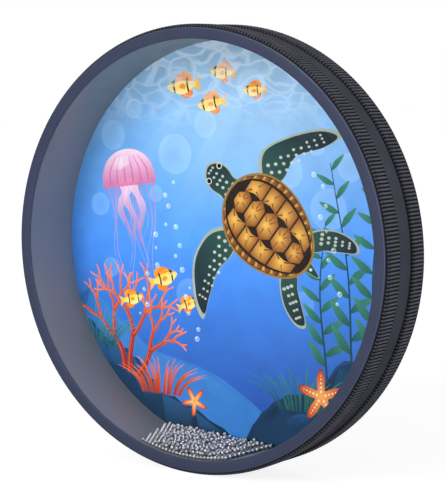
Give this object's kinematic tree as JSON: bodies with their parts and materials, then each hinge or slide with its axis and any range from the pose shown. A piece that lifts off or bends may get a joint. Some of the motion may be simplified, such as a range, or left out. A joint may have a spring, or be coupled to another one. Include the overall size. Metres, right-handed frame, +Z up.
{
  "type": "ocean drum",
  "caption": "Shallow round hand drum with a clear film head, a printed film head and loose steel beads sealed between them, which roll with the sound of surf.",
  "frame": {"origin": "centre of the drum's footprint, at the lowest point of its ribbed bands, on the surface that it stands on", "axes": "+Z up, with the drum standing on its rim as in the picture; -Y is the way that the clear head faces, and the drum's own axis runs along Y"},
  "size_m": [0.254, 0.042, 0.254],
  "materials": {
    "slate_shell": "smooth matte slate grey-blue plastic",
    "dark_wrap": "smooth matte dark grey plastic strip",
    "navy_rim": "satin dark navy plastic",
    "bonding_tape": "pale double-sided bonding tape",
    "clear_film": "clear polyester film",
    "printed_film": null,
    "black_band": "black moulded ribbed rubber",
    "bead_steel": "bright polished steel balls"
  },
  "bodies": {
    "drum": {"shell": "slate_shell", "side_wrap": "dark_wrap", "front_rim_ring": "navy_rim", "rear_rim_ring": "navy_rim", "front_head_tape": "bonding_tape", "rear_head_tape": "bonding_tape", "clear_front_head": "clear_film", "printed_rear_head": "printed_film", "front_ribbed_band": "black_band", "rear_ribbed_band": "black_band"},
    "rolling_beads": {"rim_beads": "bead_steel"},
    "washing_beads": {"heaped_beads": "bead_steel"}
  },
  "joints": [
    {"name": "bead_swirl", "type": "hinge", "parent": "drum", "child": "rolling_beads", "pos_m": [0, 0, 0.127], "axis": [0, 1, 0], "continuous": true},
    {"name": "bead_wash", "type": "slide", "parent": "rolling_beads", "child": "washing_beads", "axis": [0, 0, 1], "range_m": [0, 0.21]}
  ]
}
